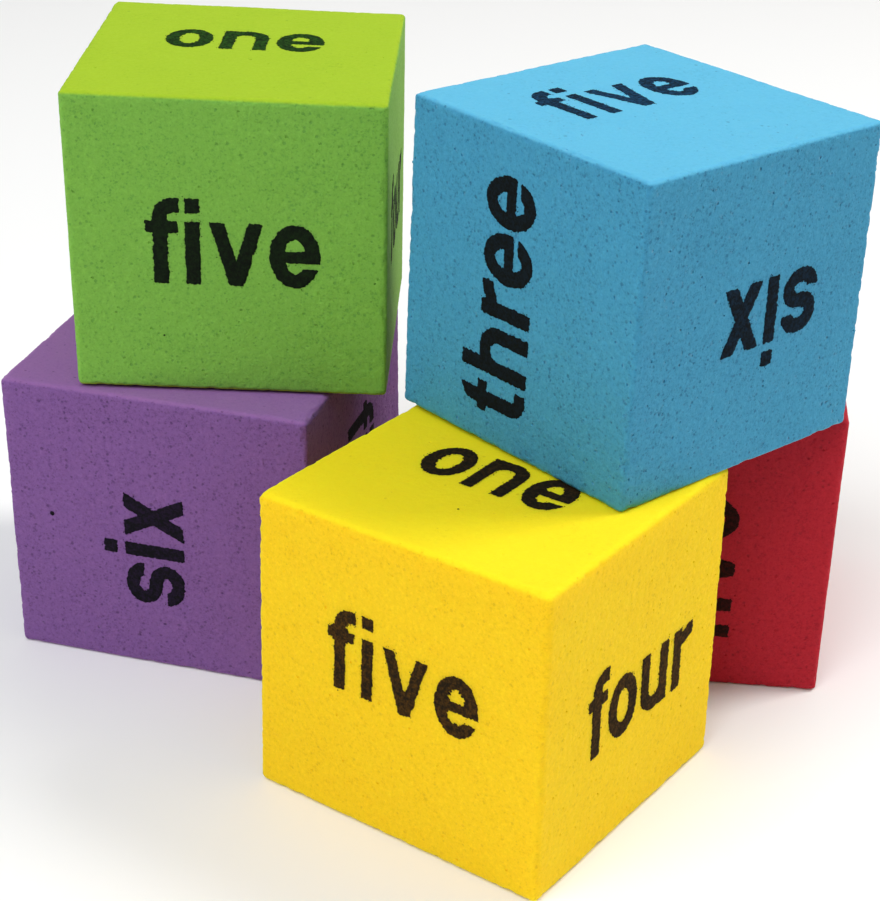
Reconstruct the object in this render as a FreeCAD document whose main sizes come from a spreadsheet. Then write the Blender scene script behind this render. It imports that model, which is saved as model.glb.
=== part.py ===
import FreeCAD, Part
import os

import Sketcher

# A pile of five soft foam dice. Each die is a block cut from closed-cell foam, with its six faces
# printed with the words for one to six instead of pips. Millimetres, +Z up. The origin is on the
# surface that the pile stands on, under the middle of its outer box.

Vector = FreeCAD.Vector

doc = FreeCAD.newDocument("WordDice")
sizes = doc.addObject("Spreadsheet::Sheet", "Sizes")

# Each block's width, depth and height, the middle of its footprint and its turn about +Z.
# Foam sheet is skived and cut while it gives under the blade, so no block is an exact cube.
BLOCKS = {
    "purple": {"width": 52.4, "depth": 50.3, "height": 49.5, "east": -39.0, "north": 326.0, "turn": -14.9},
    "green": {"width": 49.6, "depth": 50.4, "height": 48.7, "east": -33.1, "north": 330.3, "turn": -1.3},
    "yellow": {"width": 51.0, "depth": 50.1, "height": 50.3, "east": 8.7, "north": 276.4, "turn": -34.8},
    "red": {"width": 50.0, "depth": 50.0, "height": 50.3, "east": 41.5, "north": 326.8, "turn": -5.4},
    "blue": {"width": 48.9, "depth": 49.4, "height": 49.7, "east": 28.7, "north": 300.5, "turn": -48.6},
}

# The block that each raised block lies on. Blue lies on yellow and red, which are equally high.
STANDS_ON = {"green": "purple", "blue": "yellow"}

SHARED = {
    "edge_radius": 0.9,
    "print_depth": 0.3,
    "stroke": 2.3,
    "thin_stroke": 1.9,
    "low_height": 10.3,
    "tall_height": 14.0,
}

# Where each word is printed: the face, the way its letters stand, and the margins from the left
# and from the bottom of that face, as it is read. Every die carries the same print in the same
# sense, with opposite faces adding up to seven, and the dice lie turned over in different ways.
PRINTS = {
    "purple": {
        "one": ("+Y", "-X", 12.2, 20.0),
        "two": ("-X", "+Y", 11.4, 20.0),
        "three": ("+Z", "+Y", 6.4, 21.0),
        "four": ("-Z", "+Y", 10.8, 20.0),
        "five": ("+X", "+Y", 9.8, 20.6),
        "six": ("-Y", "-X", 11.8, 21.8),
    },
    "green": {
        "one": ("+Z", "+Y", 11.5, 24.9),
        "two": ("+Y", "+Z", 11.0, 20.0),
        "three": ("-X", "+Z", 6.4, 20.0),
        "four": ("+X", "+Z", 10.7, 18.0),
        "five": ("-Y", "+Z", 12.2, 18.2),
        "six": ("-Z", "+Y", 14.5, 20.0),
    },
    "yellow": {
        "one": ("+Z", "+Y", 12.5, 20.3),
        "two": ("+Y", "+Z", 11.0, 20.0),
        "three": ("-X", "+Z", 6.4, 20.0),
        "four": ("+X", "+Z", 12.1, 17.6),
        "five": ("-Y", "+Z", 13.2, 22.4),
        "six": ("-Z", "+Y", 14.5, 20.0),
    },
    "red": {
        "one": ("-X", "+Y", 12.0, 20.0),
        "two": ("+Y", "-X", 11.0, 20.0),
        "three": ("-Z", "-X", 6.4, 20.0),
        "four": ("+Z", "-X", 10.6, 20.0),
        "five": ("-Y", "-X", 8.1, 15.5),
        "six": ("+X", "+Y", 14.5, 20.0),
    },
    "blue": {
        "one": ("-X", "-Z", 11.6, 20.0),
        "two": ("-Z", "-X", 10.8, 20.0),
        "three": ("-Y", "-X", 5.3, 21.3),
        "four": ("+Y", "-X", 10.2, 20.0),
        "five": ("+Z", "-X", 11.7, 24.5),
        "six": ("+X", "-Z", 11.4, 19.9),
    },
}

AXES = {
    "+X": Vector(1, 0, 0),
    "-X": Vector(-1, 0, 0),
    "+Y": Vector(0, 1, 0),
    "-Y": Vector(0, -1, 0),
    "+Z": Vector(0, 0, 1),
    "-Z": Vector(0, 0, -1),
}


def fill_sheet():
    """Write every driving dimension to the sheet, one aliased cell each."""
    cells = dict(SHARED)
    for colour, block in BLOCKS.items():
        for name, value in block.items():
            cells[f"{colour}_{name}"] = value
    for colour, prints in PRINTS.items():
        for word, (_, _, left, base) in prints.items():
            cells[f"{colour}_{word}_left"] = left
            cells[f"{colour}_{word}_base"] = base
    for row, (alias, value) in enumerate(cells.items(), start=1):
        sizes.set(f"A{row}", alias)
        sizes.set(f"B{row}", str(value))
        sizes.setAlias(f"B{row}", alias)
    doc.recompute()


def cell(alias):
    """Read one dimension back from the sheet."""
    return float(sizes.get(alias))


# ---- the letters, drawn on a plane with the pen at the letter's left and the baseline at zero ----

def bar(left, bottom, right, top):
    """An upright rectangle."""
    return Part.makePlane(right - left, top - bottom, Vector(left, bottom, 0))


def polygon(*points):
    """A straight-sided face through the given points."""
    corners = [Vector(x, y, 0) for x, y in points]
    return Part.Face(Part.makePolygon(corners + corners[:1]))


def oval(middle_x, middle_y, half_width, half_height):
    """A filled ellipse."""
    middle = Vector(middle_x, middle_y, 0)
    side = Vector(middle_x + half_width, middle_y, 0)
    top = Vector(middle_x, middle_y + half_height, 0)
    if half_width == half_height:
        curve = Part.Circle(middle, Vector(0, 0, 1), half_width)
    elif half_width > half_height:
        curve = Part.Ellipse(side, top, middle)
    else:
        curve = Part.Ellipse(top, Vector(middle_x - half_width, middle_y, 0), middle)
    return Part.Face(Part.Wire(curve.toShape()))


def ring(middle_x, middle_y, half_width, half_height):
    """An ellipse drawn with the pen, its outside at the given half sizes."""
    stroke = cell("stroke")
    hole = oval(middle_x, middle_y, half_width - stroke, half_height - stroke)
    return oval(middle_x, middle_y, half_width, half_height).cut(hole)


def joined(first, *others):
    """One outline from overlapping strokes."""
    return first.fuse(list(others)).removeSplitter()


def bowl_width():
    """Width of the round letters."""
    return 0.76 * cell("low_height")


def arch_width():
    """Width of the letters that are two legs and an arch."""
    return 0.74 * cell("low_height")


def arch():
    """The right leg and the arch of n and h, and of a turned u."""
    half = arch_width() / 2
    spring = cell("low_height") - half
    top = ring(half, spring, half, half).common(bar(0, spring, 2 * half, spring + half))
    return joined(top, bar(2 * half - cell("stroke"), 0, 2 * half, spring))


def letter_n():
    """A low stem and an arch."""
    return joined(bar(0, 0, cell("stroke"), cell("low_height")), arch())


def letter_h():
    """A tall stem and an arch."""
    return joined(bar(0, 0, cell("stroke"), cell("tall_height")), arch())


def letter_u():
    """An n turned upside down."""
    turned = letter_n()
    turned.rotate(Vector(arch_width() / 2, cell("low_height") / 2, 0), Vector(0, 0, 1), 180)
    return turned


def letter_r():
    """A low stem and the first part of an arch, cut off square."""
    stroke = cell("stroke")
    low = cell("low_height")
    reach = 0.52 * low
    curve = ring(reach, low - reach, reach, reach)
    arm = curve.common(bar(0.6 * stroke, low - 1.35 * stroke, reach, low))
    return joined(bar(0, 0, stroke, low), arm)


def letter_i():
    """A low stem and its dot."""
    stroke = cell("stroke")
    tall = cell("tall_height")
    stem = bar(0, 0, stroke, cell("low_height"))
    return Part.Compound([stem, bar(0, tall - stroke, stroke, tall)])


def letter_o():
    """A round bowl."""
    half = bowl_width() / 2
    middle = cell("low_height") / 2
    return ring(half, middle, half, middle)


def letter_e():
    """A bowl with a crossbar, open on the right under the bar."""
    stroke = cell("stroke")
    thin = cell("thin_stroke")
    half = bowl_width() / 2
    middle = cell("low_height") / 2
    under_bar = middle - 0.55 * thin
    crossbar = bar(0.5 * stroke, under_bar, 2 * half, under_bar + thin)
    inside = crossbar.common(oval(half, middle, half, middle))
    mouth = bar(half, under_bar - 0.5 * thin, 2 * half, under_bar)
    return joined(letter_o().cut(mouth), inside)


def letter_s():
    """Two bowls, one on the other, each open on one side."""
    stroke = cell("stroke")
    half = 0.36 * cell("low_height")
    half_height = (cell("low_height") + stroke) / 4
    low = half_height
    high = cell("low_height") - half_height
    right_mouth = bar(half, high - half_height, 2 * half, high)
    left_mouth = bar(0, low, half, low + half_height)
    upper = ring(half, high, half, half_height).cut(right_mouth)
    lower = ring(half, low, half, half_height).cut(left_mouth)
    return joined(upper, lower)


def crossed_stem(left, width):
    """The crossbar of f and t."""
    low = cell("low_height")
    return bar(left, low - cell("thin_stroke"), left + width, low)


def hook(left, stem_top):
    """A stem that turns to the right at its top, as in f."""
    stroke = cell("stroke")
    radius = 1.35 * stroke
    spring = stem_top - radius
    corner = bar(left, spring, left + radius, stem_top)
    turn = ring(left + radius, spring, radius, radius).common(corner)
    tip = bar(left + radius, stem_top - stroke, left + 1.8 * stroke, stem_top)
    return joined(turn, tip)


def letter_f():
    """A tall hooked stem with a crossbar."""
    stroke = cell("stroke")
    tall = cell("tall_height")
    left = 0.5 * stroke
    stem = bar(left, 0, left + stroke, tall - 1.35 * stroke)
    return joined(stem, hook(left, tall), crossed_stem(0, 2.2 * stroke))


def letter_t():
    """A stem that turns to the right at its foot, with a crossbar and a slanted top."""
    stroke = cell("stroke")
    tall = cell("tall_height")
    left = 0.45 * stroke
    foot = hook(left, tall)
    foot = foot.mirror(Vector(0, tall / 2, 0), Vector(0, 1, 0))
    stem = polygon(
        (left, 1.35 * stroke),
        (left + stroke, 1.35 * stroke),
        (left + stroke, tall),
        (left, tall - 0.6 * stroke),
    )
    return joined(stem, foot, crossed_stem(0, 2.1 * stroke))


def slanted(foot_left, head_left, width):
    """A slanted stroke from the baseline to the low height."""
    low = cell("low_height")
    return polygon(
        (foot_left, 0),
        (foot_left + width, 0),
        (head_left + width, low),
        (head_left, low),
    )


def vee(left, width):
    """Two slanted strokes that meet on the baseline."""
    foot = left + (width - cell("stroke")) / 2
    far_head = left + width - cell("stroke")
    return joined(slanted(foot, left, cell("stroke")), slanted(foot, far_head, cell("stroke")))


def letter_v():
    """One vee."""
    return vee(0, 0.8 * cell("low_height"))


def letter_w():
    """Two vees that share their middle stroke's head."""
    width = 0.65 * cell("low_height")
    return joined(vee(0, width), vee(width - cell("stroke"), width))


def letter_x():
    """Two slanted strokes that cross."""
    far = 0.77 * cell("low_height") - 1.15 * cell("stroke")
    return joined(slanted(0, far, 1.15 * cell("stroke")), slanted(far, 0, 1.15 * cell("stroke")))


LETTERS = {
    "e": letter_e,
    "f": letter_f,
    "h": letter_h,
    "i": letter_i,
    "n": letter_n,
    "o": letter_o,
    "r": letter_r,
    "s": letter_s,
    "t": letter_t,
    "u": letter_u,
    "v": letter_v,
    "w": letter_w,
    "x": letter_x,
}

# The room that each letter keeps on its left and on its right. Round and slanted sides stand
# closer than upright stems, and what follows an f or an r tucks in under its arm.
BEARINGS = {
    "e": (0.4, 0.4),
    "f": (0.4, 0.0),
    "h": (0.85, 0.85),
    "i": (0.85, 0.85),
    "n": (0.85, 0.85),
    "o": (0.4, 0.4),
    "r": (0.85, -0.2),
    "s": (0.45, 0.45),
    "t": (0.4, 0.35),
    "u": (0.85, 0.85),
    "v": (0.6, 0.6),
    "w": (0.6, 0.6),
    "x": (0.4, 0.4),
}


def letter_solid(letter):
    """A letter as solid ink, from the printed face down into the foam."""
    into_foam = Vector(0, 0, -cell("print_depth"))
    strokes = [face.extrude(into_foam) for face in LETTERS[letter]().Faces]
    if len(strokes) == 1:
        return strokes[0]
    return strokes[0].fuse(strokes[1:]).removeSplitter()


def word_shape(word):
    """The letters of a word as solids, the first one's left edge at zero."""
    pen = -BEARINGS[word[0]][0]
    solids = []
    for letter in word:
        before, after = BEARINGS[letter]
        shape = letter_solid(letter)
        box = shape.BoundBox
        shape.translate(Vector(pen + before - box.XMin, 0, 0))
        solids += shape.Solids
        pen += before + box.XLength + after
    return Part.Compound(solids)


# ---- placing the blocks and their prints ----

def half_extents(colour):
    """How far a turned block reaches from its middle along X and along Y."""
    radius = cell("edge_radius")
    flat_x = cell(f"{colour}_width") / 2 - radius
    flat_y = cell(f"{colour}_depth") / 2 - radius
    turn = FreeCAD.Rotation(Vector(0, 0, 1), cell(f"{colour}_turn"))
    along = turn.multVec(Vector(1, 0, 0))
    east = flat_x * abs(along.x) + flat_y * abs(along.y) + radius
    north = flat_x * abs(along.y) + flat_y * abs(along.x) + radius
    return east, north


def pile_middle():
    """The middle of the whole pile's outer box, in the plan that the sheet holds."""
    east = []
    north = []
    for colour in BLOCKS:
        reach_east, reach_north = half_extents(colour)
        east += [cell(f"{colour}_east") - reach_east, cell(f"{colour}_east") + reach_east]
        north += [cell(f"{colour}_north") - reach_north, cell(f"{colour}_north") + reach_north]
    return Vector((min(east) + max(east)) / 2, (min(north) + max(north)) / 2, 0)


def block_placement(colour, middle):
    """Where a block's foot stands, and its turn."""
    under = STANDS_ON.get(colour)
    lift = cell(f"{under}_height") if under else 0
    foot = Vector(cell(f"{colour}_east"), cell(f"{colour}_north"), lift) - middle
    return FreeCAD.Placement(foot, FreeCAD.Rotation(Vector(0, 0, 1), cell(f"{colour}_turn")))


def print_placement(colour, word):
    """Where a word's first letter stands on its face, in the block's own frame."""
    face, upright, _, _ = PRINTS[colour][word]
    outward = AXES[face]
    up = AXES[upright]
    right = up.cross(outward)
    half = Vector(cell(f"{colour}_width"), cell(f"{colour}_depth"), cell(f"{colour}_height")) / 2
    corner = Vector(0, 0, half.z)
    corner += outward * abs(outward.dot(half))
    corner -= right * abs(right.dot(half))
    corner -= up * abs(up.dot(half))
    pen = corner + right * cell(f"{colour}_{word}_left") + up * cell(f"{colour}_{word}_base")
    return FreeCAD.Placement(pen, FreeCAD.Rotation(right, up, outward, "ZXY"))


def add_foam(colour, placement):
    """A solid foam block with every edge rounded, driven by the sheet."""
    body = doc.addObject("PartDesign::Body", f"{colour}_foam")
    sketch = body.newObject("Sketcher::SketchObject", f"{colour}_plan")
    plane = next(datum for datum in body.Origin.OriginFeatures if datum.Role == "XY_Plane")
    sketch.AttachmentSupport = [(plane, "")]
    sketch.MapMode = "FlatFace"

    half_width = cell(f"{colour}_width") / 2
    half_depth = cell(f"{colour}_depth") / 2
    corners = [
        Vector(-half_width, -half_depth, 0),
        Vector(half_width, -half_depth, 0),
        Vector(half_width, half_depth, 0),
        Vector(-half_width, half_depth, 0),
    ]
    for index, corner in enumerate(corners):
        sketch.addGeometry(Part.LineSegment(corner, corners[(index + 1) % 4]), False)
    for index in range(4):
        sketch.addConstraint(Sketcher.Constraint("Coincident", index, 2, (index + 1) % 4, 1))
    for index in (0, 2):
        sketch.addConstraint(Sketcher.Constraint("Horizontal", index))
        sketch.addConstraint(Sketcher.Constraint("Vertical", index + 1))
    sketch.addConstraint(Sketcher.Constraint("Symmetric", 0, 1, 2, 1, -1, 1))
    width = sketch.addConstraint(Sketcher.Constraint("DistanceX", 0, 1, 0, 2, 2 * half_width))
    depth = sketch.addConstraint(Sketcher.Constraint("DistanceY", 1, 1, 1, 2, 2 * half_depth))
    sketch.setExpression(f"Constraints[{width}]", f"Sizes.{colour}_width")
    sketch.setExpression(f"Constraints[{depth}]", f"Sizes.{colour}_depth")

    pad = body.newObject("PartDesign::Pad", f"{colour}_pad")
    pad.Profile = sketch
    pad.setExpression("Length", f"Sizes.{colour}_height")
    doc.recompute()

    rounding = body.newObject("PartDesign::Fillet", f"{colour}_rounding")
    rounding.Base = (pad, [f"Edge{number + 1}" for number in range(len(pad.Shape.Edges))])
    rounding.setExpression("Radius", "Sizes.edge_radius")
    body.Tip = rounding
    body.Placement = placement
    return body


def add_die(colour, middle, word_shapes):
    """A block with its six words let into its faces; returns the sub-parts to be kept."""
    placement = block_placement(colour, middle)
    foam = add_foam(colour, placement)

    words = []
    for word in PRINTS[colour]:
        print_layer = doc.addObject("Part::Feature", f"{colour}_word_{word}")
        print_layer.Label = f"{colour}_word_{word}"
        print_layer.Shape = word_shapes[word].copy()
        print_layer.Placement = placement.multiply(print_placement(colour, word))
        words.append(print_layer)

    tool = doc.addObject("Part::Compound", f"{colour}_prints")
    tool.Links = words
    block = doc.addObject("Part::Cut", f"{colour}_block")
    block.Label = f"{colour}_block"
    block.Base = foam
    block.Tool = tool
    return [block] + words


def check(parts):
    """Stop if anything in the document failed, or if a sub-part isn't a sound shape."""
    for item in doc.Objects:
        if "Invalid" in item.State or "Error" in item.State:
            raise RuntimeError(f"{item.Label} failed: {item.State}")
    for item in parts:
        if item.Shape.isNull() or not item.Shape.isValid() or item.Shape.Volume <= 0:
            raise RuntimeError(f"{item.Label} isn't a sound shape")


fill_sheet()
centre = pile_middle()
lettering = {word: word_shape(word) for word in ("one", "two", "three", "four", "five", "six")}
kept = []
for block_colour in BLOCKS:
    kept += add_die(block_colour, centre, lettering)
doc.recompute()
check(kept)

os.makedirs("parts", exist_ok=True)
for item in kept:
    item.Shape.exportStep(f"parts/{item.Label}.step")
    print(f"{item.Label}: {len(item.Shape.Solids)} solids, {item.Shape.Volume:.1f} cubic mm")
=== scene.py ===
"""A pile of five soft foam word dice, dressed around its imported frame.

Each die is one block of cut closed-cell foam with six printed words. The blocks and the
films of ink are new meshes that take their places and sizes from the frame.
"""
import logging
import math
import random
from dataclasses import dataclass, field

import bmesh
import bpy
from mathutils import Matrix, Vector, noise
from mathutils.bvhtree import BVHTree


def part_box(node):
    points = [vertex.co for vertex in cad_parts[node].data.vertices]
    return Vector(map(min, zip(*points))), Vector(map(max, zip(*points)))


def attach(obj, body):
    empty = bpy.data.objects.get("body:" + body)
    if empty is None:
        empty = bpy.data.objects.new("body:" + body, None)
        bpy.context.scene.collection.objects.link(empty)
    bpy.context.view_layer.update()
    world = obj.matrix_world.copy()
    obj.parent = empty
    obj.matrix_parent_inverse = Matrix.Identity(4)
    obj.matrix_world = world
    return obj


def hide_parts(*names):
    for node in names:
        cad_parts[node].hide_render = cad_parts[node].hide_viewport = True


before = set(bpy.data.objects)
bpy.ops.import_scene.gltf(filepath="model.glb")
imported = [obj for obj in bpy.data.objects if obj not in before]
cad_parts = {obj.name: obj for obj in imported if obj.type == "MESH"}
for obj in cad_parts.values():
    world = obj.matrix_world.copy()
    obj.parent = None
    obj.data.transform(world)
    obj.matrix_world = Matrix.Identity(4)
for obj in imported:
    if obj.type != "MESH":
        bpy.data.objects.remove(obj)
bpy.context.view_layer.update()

LOG = logging.getLogger("word_dice")
MM = 0.001
WORDS = ("one", "two", "three", "four", "five", "six")
SKIN_AND_TOP_LIGHT = "skin_and_top_light"
FOAM_BELOW = "foam_below"


def new_object(name: str, mesh: bpy.types.Mesh) -> bpy.types.Object:
    """Link a mesh into the scene.

    Args:
        name: The piece's name.
        mesh: Its mesh, already in the frame's own place.

    Returns:
        The new object, at the origin.
    """
    piece = bpy.data.objects.new(name, mesh)
    bpy.context.scene.collection.objects.link(piece)
    return piece


class NodeBench:
    """A short way to add and wire nodes in one node tree."""

    def __init__(self, tree: bpy.types.NodeTree) -> None:
        """Keep the tree that nodes are added to."""
        self.tree = tree

    def add(self, kind: str, **settings) -> bpy.types.Node:
        """Add a node.

        Args:
            kind: The node's type name.
            settings: Properties of the node, set by name.

        Returns:
            The node.
        """
        node = self.tree.nodes.new(kind)
        for name, value in settings.items():
            setattr(node, name, value)
        return node

    def wire(self, source, target) -> None:
        """Link an output socket to an input socket."""
        self.tree.links.new(source, target)

    def math(self, operation: str, first, second=None, clamp: bool = False):
        """Add a Math node.

        Args:
            operation: The node's operation.
            first: A socket or a number.
            second: A socket, a number or nothing.
            clamp: Whether the result is kept from 0 to 1.

        Returns:
            The output socket.
        """
        node = self.add("ShaderNodeMath", operation=operation, use_clamp=clamp)
        for socket, value in zip(node.inputs, (first, second)):
            if value is None:
                continue
            if isinstance(value, (int, float)):
                socket.default_value = value
            else:
                self.wire(value, socket)
        return node.outputs[0]

    def spread(self, value, low: float, high: float, to_low: float = 0.0, to_high: float = 1.0):
        """Map a value's range to another, clamped.

        Args:
            value: The input socket.
            low: The value that becomes to_low.
            high: The value that becomes to_high.
            to_low: The result at low.
            to_high: The result at high.

        Returns:
            The output socket.
        """
        node = self.add("ShaderNodeMapRange", interpolation_type="SMOOTHSTEP")
        self.wire(value, node.inputs["Value"])
        node.inputs["From Min"].default_value = low
        node.inputs["From Max"].default_value = high
        node.inputs["To Min"].default_value = to_low
        node.inputs["To Max"].default_value = to_high
        return node.outputs["Result"]

    def noise(self, position, per_metre: float, detail: float = 2.0, roughness: float = 0.5):
        """Add a noise texture.

        Args:
            position: The socket that gives the place.
            per_metre: How many lumps there are to a metre.
            detail: Octaves of finer noise.
            roughness: How strong the finer octaves are.

        Returns:
            The noise value's socket.
        """
        node = self.add("ShaderNodeTexNoise")
        self.wire(position, node.inputs["Vector"])
        node.inputs["Scale"].default_value = per_metre
        node.inputs["Detail"].default_value = detail
        node.inputs["Roughness"].default_value = roughness
        return node.outputs["Fac"]

    def tint(self, factor, first, second, blend: str = "MIX"):
        """Mix two colours.

        Args:
            factor: A socket or a number.
            first: A socket or a colour.
            second: A socket or a colour.
            blend: The way the second lies on the first.

        Returns:
            The colour socket.
        """
        node = self.add("ShaderNodeMix", data_type="RGBA", blend_type=blend)
        for socket, value in ((node.inputs[0], factor), (node.inputs[6], first), (node.inputs[7], second)):
            if isinstance(value, (int, float, tuple)):
                socket.default_value = value
            else:
                self.wire(value, socket)
        return node.outputs[2]


class CutFoamPattern:
    """The node group for the look of cut closed-cell foam: mottling, cells and open pores."""

    NAME = "cut_foam"

    @classmethod
    def group(cls) -> bpy.types.NodeTree:
        """Build the group once.

        Returns:
            The node group, with the outputs Tone, Pores and Height.
        """
        if cls.NAME in bpy.data.node_groups:
            return bpy.data.node_groups[cls.NAME]
        tree = bpy.data.node_groups.new(cls.NAME, "ShaderNodeTree")
        for name, default in (("Pore Share", 0.35), ("Mottle", 0.5), ("Skin", 0.0)):
            socket = tree.interface.new_socket(name, in_out="INPUT", socket_type="NodeSocketFloat")
            socket.default_value = default
        for name in ("Tone", "Pores", "Height"):
            tree.interface.new_socket(name, in_out="OUTPUT", socket_type="NodeSocketFloat")
        bench = NodeBench(tree)
        given = bench.add("NodeGroupInput")
        result = bench.add("NodeGroupOutput")
        place = bench.add("ShaderNodeTexCoord").outputs["Object"]
        cut = bench.spread(given.outputs["Skin"], 0.3, 0.9, 1.0, 0.06)
        crowding = bench.spread(bench.noise(place, 140.0, 2.0, 0.5), 0.36, 0.64, 0.45, 1.4)
        share = bench.math("MULTIPLY", bench.math("MULTIPLY", given.outputs["Pore Share"], cut), crowding)

        wide = bench.noise(place, 90.0, 3.0, 0.55)
        cells = bench.noise(place, 1500.0, 2.0, 0.6)
        fine = bench.noise(place, 3600.0, 1.0, 0.5)
        coarse_pores = cls.layer_of_pores(bench, place, 1050.0, share, 0.1, 0.26)
        fine_pores = cls.layer_of_pores(bench, place, 1900.0, share, 0.16, 0.3)
        pores = bench.math("MAXIMUM", coarse_pores, bench.math("MULTIPLY", fine_pores, 0.5))

        lumps = bench.math("ADD", bench.math("MULTIPLY", cells, 0.6), bench.math("MULTIPLY", fine, 0.4))
        quiet = bench.spread(given.outputs["Skin"], 0.3, 0.9, 1.0, 0.45)
        strength = bench.math("MULTIPLY", given.outputs["Mottle"], quiet)
        tone = bench.math("MULTIPLY", bench.math("SUBTRACT", lumps, 0.5), strength)
        broad = bench.math("MULTIPLY", bench.math("SUBTRACT", wide, 0.5), 0.3)
        bench.wire(bench.math("ADD", bench.math("ADD", tone, broad), 0.5, clamp=True), result.inputs["Tone"])
        bench.wire(pores, result.inputs["Pores"])
        relief = bench.math("MULTIPLY_ADD", bench.noise(place, 620.0, 2.5, 0.65), 2.6)
        bench.wire(lumps, relief.node.inputs[2])
        lifted = bench.math("MULTIPLY", relief, quiet)
        bench.wire(bench.math("SUBTRACT", lifted, bench.math("MULTIPLY", pores, 0.7)), result.inputs["Height"])
        return tree

    @staticmethod
    def layer_of_pores(bench: NodeBench, place, per_metre: float, share, smallest: float, spread: float):
        """Add one size of pore.

        Args:
            bench: The group's node bench.
            place: The socket that gives the place.
            per_metre: How many cells there are to a metre.
            share: The share of the cells that are open.
            smallest: The smallest pore's radius, as a part of a cell.
            spread: How much wider the widest pore is.

        Returns:
            The socket of a mask that is 1 inside a pore.
        """
        cell = bench.add("ShaderNodeTexVoronoi", feature="F1")
        bench.wire(place, cell.inputs["Vector"])
        cell.inputs["Scale"].default_value = per_metre
        luck = bench.add("ShaderNodeSeparateColor")
        bench.wire(cell.outputs["Color"], luck.inputs["Color"])
        chosen = bench.math("LESS_THAN", luck.outputs["Red"], share)
        reach = bench.math("MULTIPLY_ADD", luck.outputs["Green"], spread)
        reach.node.inputs[2].default_value = smallest
        disc = bench.spread(bench.math("SUBTRACT", reach, cell.outputs["Distance"]), 0.0, 0.12)
        return bench.math("MULTIPLY", disc, chosen)


@dataclass(frozen=True)
class FoamFinish:
    """The finish of one colour of foam, on its cut faces and on its smoother skin. The skin colour is paler than the
    cut colour as painted light: it stands for the stronger light that falls on the top faces.
    """

    name: str
    cut: tuple[float, float, float]
    skin_and_top_light: tuple[float, float, float]
    # How many pores are open, and how dark and what colour the painted shade in them is; the same tint also darkens
    # the mottle.
    pore_share: float = 0.85
    pore_shade: float = 0.5
    mottle_and_pore_shade_tint: tuple[float, float, float] = (0.2, 0.26, 0.34)
    mottle: float = 1.6
    glow: float = 0.6
    glow_reach: float = 1.2 * MM

    def material(self) -> bpy.types.Material:
        """Build the material.

        Returns:
            A matte foam material in this colour.
        """
        material = bpy.data.materials.new(f"{self.name}_foam")
        material.use_nodes = True
        bench = NodeBench(material.node_tree)
        shader = material.node_tree.nodes["Principled BSDF"]
        skin_and_top_light = bench.add("ShaderNodeAttribute", attribute_name=SKIN_AND_TOP_LIGHT).outputs["Fac"]
        foam = bench.add("ShaderNodeGroup", node_tree=CutFoamPattern.group())
        foam.inputs["Pore Share"].default_value = self.pore_share
        foam.inputs["Mottle"].default_value = self.mottle
        bench.wire(skin_and_top_light, foam.inputs["Skin"])

        # The top and bottom faces take the paler skin colour: painted light from above, laid over the smoother skin
        # with fewer pores that the foam really has.
        flat = bench.tint(bench.spread(skin_and_top_light, 0.25, 0.85), (*self.cut, 1), (*self.skin_and_top_light, 1))
        pale = bench.spread(foam.outputs["Tone"], 0.5, 0.9, 0.0, 0.5)
        sunk = bench.spread(foam.outputs["Tone"], 0.5, 0.1, 0.0, 0.4)
        colour = bench.tint(pale, flat, (1.35, 1.3, 1.25, 1), "MULTIPLY")
        # The darker mottle takes the same tint as the pores' painted shade.
        colour = bench.tint(sunk, colour, (*self.mottle_and_pore_shade_tint, 1), "MULTIPLY")
        # The pores are darkened and tinted in colour as well as sunk by the bump: painted shade in open cells too
        # small for the mesh.
        shade = bench.math("MULTIPLY", foam.outputs["Pores"], self.pore_shade)
        colour = bench.tint(shade, colour, (*self.mottle_and_pore_shade_tint, 1), "MULTIPLY")
        bench.wire(colour, shader.inputs["Base Color"])
        bench.wire(bench.spread(foam.outputs["Tone"], 0.3, 0.7, 0.9, 0.78), shader.inputs["Roughness"])
        shader.inputs["Specular IOR Level"].default_value = 0.25
        shader.inputs["Subsurface Weight"].default_value = self.glow
        shader.inputs["Subsurface Radius"].default_value = (1.0, 0.8, 0.6)
        shader.inputs["Subsurface Scale"].default_value = self.glow_reach

        bump = bench.add("ShaderNodeBump")
        bump.inputs["Strength"].default_value = 0.7
        bump.inputs["Distance"].default_value = 0.15 * MM
        bench.wire(foam.outputs["Height"], bump.inputs["Height"])
        bench.wire(bump.outputs["Normal"], shader.inputs["Normal"])
        return material


@dataclass(frozen=True)
class InkFinish:
    """The finish of the printed words: dull ink that lets the foam's cells and a little of its colour show."""

    colour: tuple[float, float, float] = (0.005, 0.006, 0.005)

    def material(self) -> bpy.types.Material:
        """Build the material.

        Returns:
            A matte black material, warmer or cooler with the foam that it lies on.
        """
        material = bpy.data.materials.new("printed_ink")
        material.use_nodes = True
        bench = NodeBench(material.node_tree)
        shader = material.node_tree.nodes["Principled BSDF"]
        foam = bench.add("ShaderNodeGroup", node_tree=CutFoamPattern.group())
        foam.inputs["Pore Share"].default_value = 0.3
        foam.inputs["Mottle"].default_value = 1.6
        below = bench.add("ShaderNodeAttribute", attribute_name=FOAM_BELOW).outputs["Color"]
        patchy = bench.spread(foam.outputs["Tone"], 0.3, 0.8, 0.15, 1.0)
        colour = bench.tint(patchy, (*self.colour, 1), below, "ADD")
        bench.wire(colour, shader.inputs["Base Color"])
        bench.wire(bench.spread(foam.outputs["Tone"], 0.3, 0.7, 0.95, 0.8), shader.inputs["Roughness"])
        shader.inputs["Specular IOR Level"].default_value = 0.07
        bump = bench.add("ShaderNodeBump")
        bump.inputs["Strength"].default_value = 0.3
        bump.inputs["Distance"].default_value = 0.12 * MM
        bench.wire(foam.outputs["Height"], bump.inputs["Height"])
        bench.wire(bump.outputs["Normal"], shader.inputs["Normal"])
        return material


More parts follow.
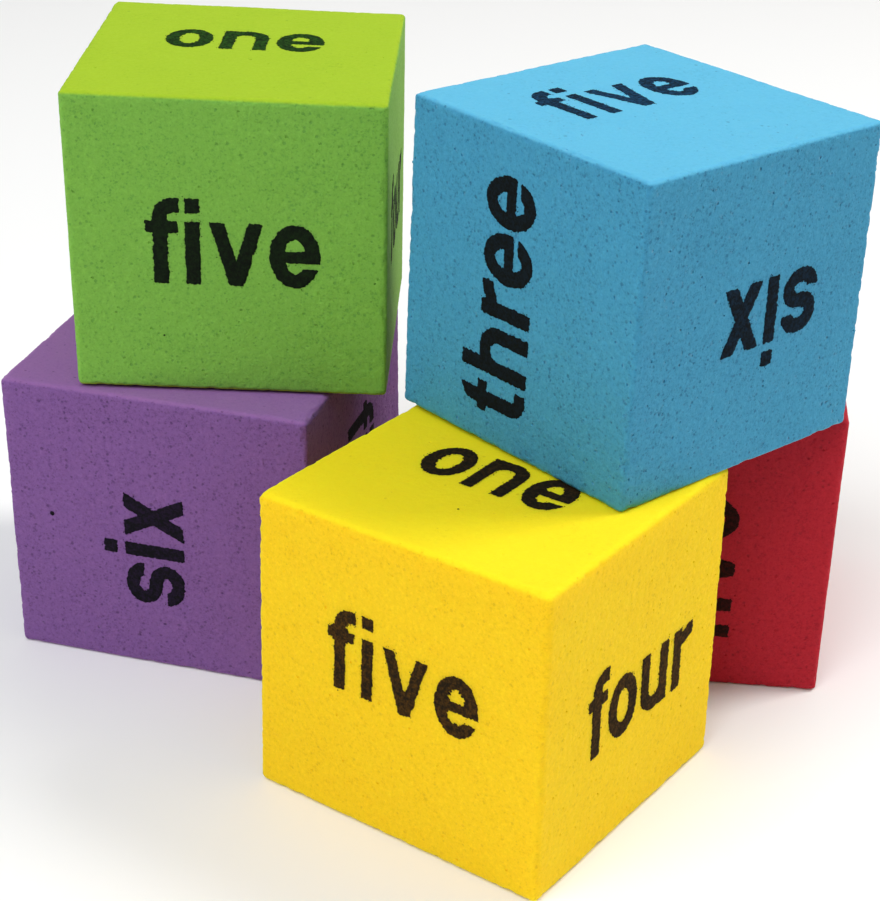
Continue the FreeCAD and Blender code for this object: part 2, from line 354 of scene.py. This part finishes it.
@dataclass
class CadBlock:
    """Where the frame holds one block: its middle, its turned axes and its half sizes."""

    node: str
    turn_degrees: float
    turn: Matrix = field(init=False)
    middle: Vector = field(init=False)
    half: Vector = field(init=False)

    def __post_init__(self) -> None:
        """Measure the block along its own axes."""
        self.turn = Matrix.Rotation(math.radians(self.turn_degrees), 3, "Z")
        back = self.turn.transposed()
        local = [back @ vertex.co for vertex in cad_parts[self.node].data.vertices]
        low = Vector(min(point[axis] for point in local) for axis in range(3))
        high = Vector(max(point[axis] for point in local) for axis in range(3))
        self.half = (high - low) / 2
        self.middle = self.turn @ ((low + high) / 2)

    def to_world(self) -> Matrix:
        """The matrix from the block's own frame to the row's frame."""
        return Matrix.Translation(self.middle) @ self.turn.to_4x4()


@dataclass(frozen=True)
class Pore:
    """A size of open pore: how far its wall stands in from its cell, and its depth, in millimetres."""

    rim: float
    depth: float


@dataclass(frozen=True)
class OutOfTrue:
    """How far a block is from square, in millimetres over its whole height or width."""

    lean: tuple[float, float] = (0.0, 0.0)
    taper: tuple[float, float] = (0.0, 0.0)
    slope: tuple[float, float] = (0.0, 0.0)

    def apply(self, point: Vector, half: Vector) -> Vector:
        """Lean, taper and slope the block at one point.

        Args:
            point: The point of the square block, in its own frame.
            half: The block's half sizes.

        Returns:
            The moved point.
        """
        share = Vector(point[axis] / half[axis] for axis in range(3))
        moved = point.copy()
        for axis in range(2):
            sideways = self.lean[axis] + self.taper[axis] * share[axis] / 2
            moved[axis] += sideways * MM * share.z / 2
            moved.z += self.slope[axis] * MM * share[axis] / 2 * (share.z + 1) / 2
        return moved


@dataclass
class FoamBlock:
    """One solid foam block, with cut faces that are a little out of true and pitted with pores."""

    seed: int
    cad: CadBlock
    shape: OutOfTrue
    edge_radius: float
    grain: float
    cells_across: int = 122
    edge_cells: int = 4
    sway: float = 0.14 * MM
    jitter: float = 0.08 * MM
    nicks: float = 0.3 * MM
    pores: int = 1500

    def build(self, name: str, material: bpy.types.Material) -> tuple[bpy.types.Object, BVHTree]:
        """Make the block.

        Args:
            name: The piece's name.
            material: The foam's material.

        Returns:
            The block's object, in its place, and its surface before the pores are opened.
        """
        shape = bmesh.new()
        bmesh.ops.create_cube(shape, size=2.0)
        bmesh.ops.subdivide_edges(shape, edges=shape.edges[:], cuts=self.cells_across - 1, use_grid_fill=True)
        chance = random.Random(self.seed)
        offset = Vector((self.seed * 3.7, self.seed * 1.3, 0))
        skin_and_top_light = shape.verts.layers.float.new(SKIN_AND_TOP_LIGHT)
        for vertex in shape.verts:
            vertex.co, vertex[skin_and_top_light] = self.cut_surface(vertex.co, offset, chance)
        shape.transform(self.cad.to_world())
        surface = BVHTree.FromBMesh(shape)
        self.open_pores(shape, chance)
        for facet in shape.faces:
            facet.smooth = True
        mesh = bpy.data.meshes.new(name)
        shape.to_mesh(mesh)
        shape.free()
        mesh.materials.append(material)
        return new_object(name, mesh), surface

    def spaced(self, share: float, half: float) -> float:
        """Space the grid so that the rounded edges get their own narrow cells.

        Args:
            share: The place on the even grid, from -1 to 1.
            half: Half the block's size along this axis.

        Returns:
            The place along the axis, in metres.
        """
        edge_share = 2 * self.edge_cells / self.cells_across
        flat_half = half - self.edge_radius
        if abs(share) <= 1 - edge_share:
            return share / (1 - edge_share) * flat_half
        past = (abs(share) - 1 + edge_share) / edge_share
        return math.copysign(flat_half + past * self.edge_radius, share)

    def cut_surface(self, place: Vector, offset: Vector, chance: random.Random) -> tuple[Vector, float]:
        """Move a point of the unit cube to the block's real surface.

        Args:
            place: The point, from -1 to 1 along each axis.
            offset: Where this block's noise is read.
            chance: The block's own random numbers.

        Returns:
            The point in the block's own frame, in metres, and how far it is skin: the top and bottom faces, which the
            material also paints paler as light from above.
        """
        half = self.cad.half
        flat = Vector(self.spaced(place[axis], half[axis]) for axis in range(3))
        core = Vector()
        for axis in range(3):
            reach = half[axis] - self.edge_radius
            core[axis] = max(-reach, min(reach, flat[axis]))
        outward = (flat - core).normalized()
        point = core + outward * self.edge_radius
        sway = noise.noise(point / (17 * MM) + offset) * 0.5 + 0.5
        ripple = noise.noise(point / (4.5 * MM) + offset) * 0.5 + 0.5
        grain = noise.noise(point / (0.8 * MM) + offset) * 0.5 + 0.5
        # The top and bottom faces: smoother skin, and the faces where the material paints the paler colour of light
        # from above.
        skin_and_top_light = abs(outward.z)
        rough = 1 - 0.6 * skin_and_top_light
        point -= outward * (sway * self.sway + (ripple * 0.4 * self.sway + grain * self.grain) * rough)
        shift = Vector(chance.uniform(-1, 1) for _ in range(3)) * self.jitter
        if (flat - core).length > self.edge_radius * 1.001:
            shift *= 0.2
            nick = noise.noise(point / (1.5 * MM) - offset) + 0.5 * noise.noise(point / (0.6 * MM) - offset)
            point -= outward * max(0.0, nick) * self.nicks
        point += shift - outward * shift.dot(outward)
        return self.shape.apply(point, half), skin_and_top_light

    def open_pores(self, shape: bmesh.types.BMesh, chance: random.Random) -> None:
        """Sink small pits into the surface where the blade has opened a cell.

        Args:
            shape: The block's mesh.
            chance: The block's own random numbers.
        """
        shape.faces.ensure_lookup_table()
        skin_and_top_light = shape.verts.layers.float[SKIN_AND_TOP_LIGHT]
        picked = chance.sample(range(len(shape.faces)), self.pores)
        used: set[int] = set()
        batches: tuple[list[bmesh.types.BMFace], ...] = ([], [], [])
        for index in picked:
            facet = shape.faces[index]
            corners = {vertex.index for vertex in facet.verts}
            if corners & used or facet.verts[0][skin_and_top_light] * 0.9 > chance.random():
                continue
            used |= corners
            batches[chance.choices((0, 1, 2), (6, 3, 1))[0]].append(facet)
        for facets, pore in zip(batches, (Pore(0.14, 0.1), Pore(0.11, 0.16), Pore(0.07, 0.24))):
            for facet in facets:
                for edge in facet.edges:
                    edge.smooth = False
            bmesh.ops.inset_individual(shape, faces=facets, thickness=pore.rim * MM, depth=-pore.depth * MM)


@dataclass(frozen=True)
class InkDrop:
    """A stray drop of ink: its middle in the block's own frame and its radius, in millimetres."""

    middle: Vector
    radius: float


@dataclass(frozen=True)
class Inking:
    """How a word came out of the press.

    Attributes:
        thin: The share of the light that goes down into the foam and comes back through the ink.
        swell: How far the ink has crept outside its letters, or, below zero, how far it falls short.
    """

    thin: float = 0.06
    swell: float = 0.03 * MM


@dataclass
class PrintedWord:
    """A word's film of ink, which follows the foam and has a ragged edge."""

    node: str
    cad: CadBlock
    foam: BVHTree
    seed: int
    foam_colour: tuple[float, float, float]
    inking: Inking
    cell: float = 0.5 * MM
    edge_step: float = 0.11 * MM
    rag: float = 0.19 * MM
    eases: int = 10
    spatter_share: float = 0.03
    proud: float = 0.03 * MM
    soak: float = 0.2 * MM
    drops: tuple[InkDrop, ...] = ()

    def outward(self) -> Vector:
        """The way the printed face looks, found from the word's place on its block."""
        low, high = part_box(self.node)
        local = self.cad.turn.transposed() @ ((low + high) / 2 - self.cad.middle)
        axis = max(range(3), key=lambda index: abs(local[index]) / self.cad.half[index])
        way = Vector()
        way[axis] = math.copysign(1, local[axis])
        return self.cad.turn @ way

    def build(self, name: str, material: bpy.types.Material) -> bpy.types.Object:
        """Make the film.

        Args:
            name: The piece's name.
            material: The ink's material.

        Returns:
            The film's object, in its place.
        """
        way = self.outward()
        film = self.letter_faces(way)
        to_face = way.to_track_quat("Z", "Y").to_matrix().to_4x4()
        film.transform(to_face.inverted())
        self.divide(film)
        self.roughen_edge(film)
        self.spatter(film)
        for drop in self.drops:
            middle = to_face.inverted() @ self.cad.to_world() @ (drop.middle * MM)
            self.add_dot(film, middle, drop.radius * MM)
        bmesh.ops.triangulate(film, faces=film.faces[:])
        film.transform(to_face)
        self.lay_on_foam(film, way)
        mesh = bpy.data.meshes.new(name)
        film.to_mesh(mesh)
        film.free()
        mesh.materials.append(material)
        shown = [2 * self.inking.thin * part**2 for part in self.foam_colour]
        below = mesh.attributes.new(FOAM_BELOW, "FLOAT_VECTOR", "POINT")
        below.data.foreach_set("vector", shown * len(mesh.vertices))
        return new_object(name, mesh)

    def letter_faces(self, way: Vector) -> bmesh.types.BMesh:
        """Take the outer faces of the word's solid letters.

        Args:
            way: The direction that the printed face looks.

        Returns:
            A mesh of the flat letters.
        """
        film = bmesh.new()
        film.from_mesh(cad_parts[self.node].data)
        bmesh.ops.remove_doubles(film, verts=film.verts[:], dist=0.002 * MM)
        film.normal_update()
        hidden = [facet for facet in film.faces if facet.normal.dot(way) < 0.9]
        bmesh.ops.delete(film, geom=hidden, context="FACES")
        bmesh.ops.dissolve_limit(film, angle_limit=0.01, verts=film.verts[:], edges=film.edges[:])
        return film

    def divide(self, film: bmesh.types.BMesh) -> None:
        """Cut the letters into small cells, so that they can follow the foam.

        Args:
            film: The flat letters, facing +Z.
        """
        for axis in range(2):
            places = [vertex.co[axis] for vertex in film.verts]
            cut = min(places) + self.cell / 2
            normal = Vector((1 - axis, axis, 0))
            while cut < max(places):
                everything = film.verts[:] + film.edges[:] + film.faces[:]
                bmesh.ops.bisect_plane(film, geom=everything, dist=0.001 * MM, plane_co=normal * cut, plane_no=normal)
                cut += self.cell
        while True:
            rim = [edge for edge in film.edges if edge.is_boundary and edge.calc_length() > self.edge_step]
            if not rim:
                break
            bmesh.ops.subdivide_edges(film, edges=rim, cuts=1)

    def roughen_edge(self, film: bmesh.types.BMesh) -> None:
        """Round the letters' corners a little, then let the ink creep unevenly into the foam's cells.

        Args:
            film: The flat letters, facing +Z.
        """
        rim = {}
        for vertex in film.verts:
            if vertex.is_boundary:
                rim[vertex] = [edge.other_vert(vertex) for edge in vertex.link_edges if edge.is_boundary]
        for _ in range(self.eases):
            eased = {vertex: (before.co + after.co) * 0.3 + vertex.co * 0.4 for vertex, (before, after) in rim.items()}
            for vertex, place in eased.items():
                vertex.co = place
        offset = Vector((0, 0, self.seed * 2.3))
        crept = {}
        for vertex, (before, after) in rim.items():
            along = (after.co - before.co).normalized()
            away = Vector((along.y, -along.x, 0))
            if away.dot(vertex.co - vertex.link_faces[0].calc_center_median()) < 0:
                away.negate()
            slow = noise.noise_vector(vertex.co / (0.8 * MM) + offset)
            quick = noise.noise_vector(vertex.co / (0.28 * MM) + offset)
            creep = (slow * 0.6 + quick) * self.rag
            crept[vertex] = vertex.co + away * self.inking.swell + Vector((creep.x, creep.y, 0))
        for vertex, place in crept.items():
            vertex.co = place
        inner = [vertex for vertex in film.verts if not vertex.is_boundary]
        for _ in range(4):
            bmesh.ops.smooth_vert(film, verts=inner, factor=0.5, use_axis_x=True, use_axis_y=True)

    def spatter(self, film: bmesh.types.BMesh) -> None:
        """Add tiny specks of ink just outside the letters.

        Args:
            film: The flat letters, facing +Z.
        """
        chance = random.Random(self.seed)
        rim = [vertex for vertex in film.verts if vertex.is_boundary]
        for vertex in rim:
            if chance.random() > self.spatter_share:
                continue
            inside = vertex.link_faces[0].calc_center_median()
            away = (vertex.co - inside).normalized() * chance.uniform(0.2, 0.5) * MM
            self.add_dot(film, vertex.co + away, chance.uniform(0.04, 0.1) * MM)

    @staticmethod
    def add_dot(film: bmesh.types.BMesh, middle: Vector, radius: float) -> None:
        """Add a small round speck.

        Args:
            film: The flat letters, facing +Z.
            middle: Its middle.
            radius: Its radius.
        """
        bmesh.ops.create_circle(film, cap_ends=True, segments=8, radius=radius, matrix=Matrix.Translation(middle))

    def lay_on_foam(self, film: bmesh.types.BMesh, way: Vector) -> None:
        """Drop the letters on the foam's surface and give them their depth.

        Args:
            film: The letters, in the row's frame.
            way: The direction that the printed face looks.
        """
        reach = 3 * MM
        for vertex in film.verts:
            hit = self.foam.ray_cast(vertex.co + way * reach, -way, 2 * reach)[0]
            if hit is not None:
                vertex.co = hit + way * self.proud
        for facet in film.faces:
            facet.smooth = True
        base = bmesh.ops.extrude_face_region(film, geom=film.faces[:], use_keep_orig=True)
        sunk = [item for item in base["geom"] if isinstance(item, bmesh.types.BMVert)]
        bmesh.ops.translate(film, verts=sunk, vec=-way * self.soak)
        bmesh.ops.recalc_face_normals(film, faces=film.faces[:])


@dataclass
class WordDie:
    """One die: its foam block and its six printed words."""

    colour: str
    turn_degrees: float
    seed: int
    finish: FoamFinish
    shape: OutOfTrue
    edge_radius: float = 0.9 * MM
    grain: float = 0.06 * MM
    drops: dict[str, tuple[InkDrop, ...]] = field(default_factory=dict)
    inking: dict[str, Inking] = field(default_factory=dict)

    def build(self, ink: bpy.types.Material) -> None:
        """Make the die's pieces and let them ride on its body.

        Args:
            ink: The material of the printed words.
        """
        body = f"{self.colour}_die"
        cad = CadBlock(f"{self.colour}_block", self.turn_degrees)
        foam = FoamBlock(self.seed, cad, self.shape, self.edge_radius, self.grain)
        block, surface = foam.build(f"{self.colour}_foam_block", self.finish.material())
        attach(block, body)
        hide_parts(f"{self.colour}_block")
        LOG.info("%s: %d faces", block.name, len(block.data.polygons))
        for number, word in enumerate(WORDS):
            node = f"{self.colour}_word_{word}"
            inking = self.inking.get(word, Inking())
            drops = self.drops.get(word, ())
            seed = self.seed * 10 + number
            print_job = PrintedWord(node, cad, surface, seed, self.finish.cut, inking, drops=drops)
            film = print_job.build(f"{self.colour}_print_{word}", ink)
            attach(film, body)
            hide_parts(node)
            LOG.info("%s: %d faces", film.name, len(film.data.polygons))


@dataclass
class Studio:
    """The pale floor, the soft lights and the camera."""

    eye: Vector = field(default_factory=lambda: Vector((0.96, -299.24, 192.26)) * MM)
    tilt_down_degrees: float = 26.48
    roll_degrees: float = 1.7
    lens: float = 84.62
    floor_size: float = 6.0

    def build(self) -> None:
        """Set up everything that isn't part of the object."""
        self.add_floor()
        self.add_lights()
        self.add_camera()
        view = bpy.context.scene.view_settings
        view.view_transform = "Standard"

    def add_floor(self) -> None:
        """A wide plain floor."""
        shape = bmesh.new()
        bmesh.ops.create_grid(shape, x_segments=1, y_segments=1, size=self.floor_size / 2)
        mesh = bpy.data.meshes.new("floor")
        shape.to_mesh(mesh)
        shape.free()
        material = bpy.data.materials.new("pale_floor")
        material.use_nodes = True
        shader = material.node_tree.nodes["Principled BSDF"]
        shader.inputs["Base Color"].default_value = (0.93, 0.93, 0.93, 1)
        shader.inputs["Roughness"].default_value = 0.9
        mesh.materials.append(material)
        new_object("floor", mesh)

    def add_lights(self) -> None:
        """A pale surround, a key light above on the right and broad weak ones beside it."""
        world = bpy.data.worlds.new("surround")
        world.use_nodes = True
        background = world.node_tree.nodes["Background"]
        background.inputs["Color"].default_value = (1, 1, 1, 1)
        background.inputs["Strength"].default_value = 0.3
        bpy.context.scene.world = world
        self.add_area("key", Vector((0.7, 0.15, 0.9)), 0.35, 6.4, (1.0, 0.97, 0.92))
        self.add_area("front_left", Vector((-0.5, -0.64, 1.05)), 0.9, 11.0, (0.95, 0.98, 1.0))
        self.add_area("overhead", Vector((0.1, 0.1, 1.2)), 1.2, 2.4, (1.0, 1.0, 1.0))

    def add_area(self, name: str, place: Vector, size: float, power: float, tint: tuple[float, ...]) -> None:
        """Add a square soft light that looks at the pile.

        Args:
            name: The light's name.
            place: Where it hangs.
            size: Its side, in metres.
            power: Its power, in watts.
            tint: Its colour.
        """
        light = bpy.data.lights.new(name, "AREA")
        light.energy = power
        light.color = tint
        light.size = size
        lamp = bpy.data.objects.new(name, light)
        bpy.context.scene.collection.objects.link(lamp)
        lamp.location = place
        lamp.rotation_mode = "QUATERNION"
        lamp.rotation_quaternion = (Vector((0, 0, 0.05)) - place).to_track_quat("-Z", "Y")

    def add_camera(self) -> None:
        """A camera at the height of someone sitting at the table."""
        camera = bpy.data.cameras.new("camera")
        camera.lens = self.lens
        camera.clip_start = 0.01
        rig = bpy.data.objects.new("camera", camera)
        bpy.context.scene.collection.objects.link(rig)
        look = Matrix.Rotation(math.radians(90 - self.tilt_down_degrees), 4, "X")
        roll = Matrix.Rotation(math.radians(self.roll_degrees), 4, "Z")
        rig.matrix_world = Matrix.Translation(self.eye) @ look @ roll
        bpy.context.scene.camera = rig


DICE = (
    WordDie(
        "purple", -14.9, 1,
        FoamFinish(
            "purple", cut=(0.209, 0.094, 0.293), skin_and_top_light=(0.3, 0.135, 0.375),
            pore_share=0.65, pore_shade=0.45, mottle_and_pore_shade_tint=(0.28, 0.2, 0.3), mottle=1.8,
        ),
        OutOfTrue(lean=(-1.0, -0.3), taper=(-0.4, 0.1), slope=(0.0, 0.4)),
        drops={"six": (InkDrop(Vector((-18.7, -25.2, 1.1)), 0.42),)},
        inking={"six": Inking(0.12, 0.03 * MM)},
    ),
    WordDie(
        "green", -1.3, 2,
        FoamFinish(
            "green", cut=(0.193, 0.432, 0.061), skin_and_top_light=(0.305, 0.465, 0.0145),
            pore_share=0.4, pore_shade=0.33, mottle_and_pore_shade_tint=(0.22, 0.42, 0.6), mottle=1.7,
        ),
        OutOfTrue(lean=(-0.5, -0.3), taper=(0.4, 0.3), slope=(-0.4, 0.7)),
        drops={"five": (InkDrop(Vector((-10.2, -25.2, -15.0)), 0.16),)},
        inking={"one": Inking(0.2, -0.1 * MM), "five": Inking(0.032, 0.02 * MM)},
    ),
    WordDie(
        "yellow", -34.8, 3,
        FoamFinish(
            "yellow", cut=(0.95, 0.6, 0.006), skin_and_top_light=(0.99, 0.71, 0.007),
            pore_share=0.3, pore_shade=0.25, mottle_and_pore_shade_tint=(0.55, 0.45, 0.3), mottle=1.3,
            glow=0.8, glow_reach=2.2 * MM,
        ),
        OutOfTrue(lean=(-0.3, 0.2), taper=(-0.4, 0.0), slope=(0.6, 0.0)),
        edge_radius=1.2 * MM,
        grain=0.14 * MM,
        drops={"one": (InkDrop(Vector((0.8, -11.4, 25.2)), 0.17),)},
        inking={
            "one": Inking(0.015, -0.07 * MM),
            "four": Inking(0.039, 0.03 * MM),
            "five": Inking(0.039, -0.15 * MM),
        },
    ),
    WordDie(
        "red", -5.4, 4,
        FoamFinish("red", cut=(0.447, 0.0132, 0.0285), skin_and_top_light=(0.45, 0.015, 0.031), pore_share=0.4, pore_shade=0.3),
        OutOfTrue(lean=(0.2, 0.0)),
        inking={"five": Inking(0.1, 0.0)},
    ),
    WordDie(
        "blue", -48.6, 5,
        FoamFinish("blue", cut=(0.053, 0.29, 0.47), skin_and_top_light=(0.096, 0.412, 0.63), pore_shade=0.42, mottle=1.8),
        OutOfTrue(lean=(0.3, 0.4), taper=(0.2, -0.6), slope=(-0.4, -0.5)),
        inking={
            "five": Inking(0.25, -0.1 * MM),
            "three": Inking(0.027, 0.04 * MM),
            "six": Inking(0.08, 0.06 * MM),
        },
    ),
)


def main() -> None:
    """Build the dice and the studio."""
    logging.basicConfig(level=logging.INFO, format="%(message)s")
    ink = InkFinish().material()
    for die in DICE:
        die.build(ink)
    Studio().build()


if __name__ == "__main__":
    main()
